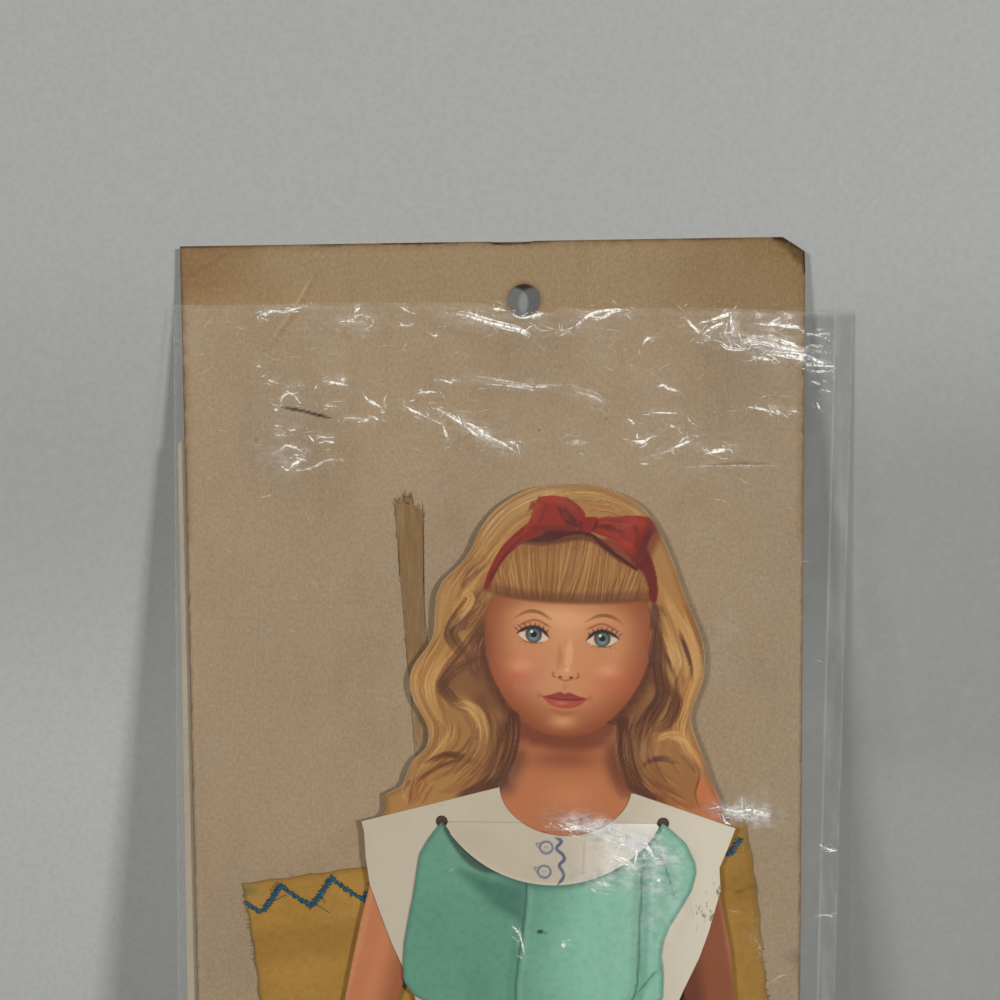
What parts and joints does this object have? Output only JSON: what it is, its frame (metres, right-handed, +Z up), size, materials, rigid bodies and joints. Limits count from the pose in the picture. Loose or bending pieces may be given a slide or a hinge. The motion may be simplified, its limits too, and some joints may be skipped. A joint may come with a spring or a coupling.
{
  "type": "paper doll",
  "caption": "Die-cut paper doll with a cloth dress tucked under its collar, on a backing card with a hang hole, in a clear film sleeve with a second card behind.",
  "frame": {"origin": "centre of the punched hang hole, on the back face of the backing card", "axes": "+Z up as it hangs, the doll faces -Y, +X to the right seen from the front"},
  "size_m": [0.1723, 0.0103, 0.3777],
  "materials": {
    "card": "uncoated grey-brown chipboard, worn",
    "tape": "brown kraft paper, frayed",
    "insert": "pale uncoated card",
    "film": "clear crumpled film",
    "film_seal": "heat-sealed film",
    "doll_board": "raw die-cut edge",
    "doll_print": "printed paper, satin",
    "doll_back": "plain uncoated paper",
    "dress_paper": "white coated paper, slightly yellowed",
    "teal_fabric": "thin plain-woven cotton, creased",
    "yellow_fabric": "thin plain-woven cotton",
    "blue_thread": "machine-stitched thread"
  },
  "bodies": {
    "card": {"backing_card": "card", "tape_strip": "tape"},
    "sleeve": {"sleeve_front": "film", "sleeve_back": "film", "sleeve_side_seal": "film_seal", "sleeve_bottom_seal": "film_seal"},
    "doll": {"doll_board": "doll_board", "doll_print": "doll_print", "doll_back_paper": "doll_back", "dress_sheet": "dress_paper"},
    "collar": {"collar_flap": "dress_paper"},
    "dress_cloth": {"teal_cloth": "teal_fabric"},
    "insert": {"insert_card": "insert"},
    "spare_cloth": {"yellow_cloth": "yellow_fabric", "zigzag_trim": "blue_thread"}
  },
  "joints": [
    {"name": "sleeve_slide", "type": "slide", "parent": "card", "child": "sleeve", "axis": [-0.0175, 0, -0.9998], "range_m": [0, 0.355]},
    {"name": "doll_slide", "type": "slide", "parent": "sleeve", "child": "doll", "axis": [0.0175, 0, 0.9998], "range_m": [0, 0.355]},
    {"name": "insert_slide", "type": "slide", "parent": "sleeve", "child": "insert", "axis": [0.0175, 0, 0.9998], "range_m": [0, 0.355]},
    {"name": "spare_cloth_slide", "type": "slide", "parent": "sleeve", "child": "spare_cloth", "axis": [0.0175, 0, 0.9998], "range_m": [-0.12, 0.24]},
    {"name": "collar_lift", "type": "hinge", "parent": "doll", "child": "collar", "pos_m": [0, -0.00395, -0.1284], "axis": [-1, 0, 0], "range_deg": [0, 10]},
    {"name": "dress_cloth_pull", "type": "slide", "parent": "doll", "child": "dress_cloth", "axis": [0, 0, -1], "range_m": [0, 0.006]}
  ]
}
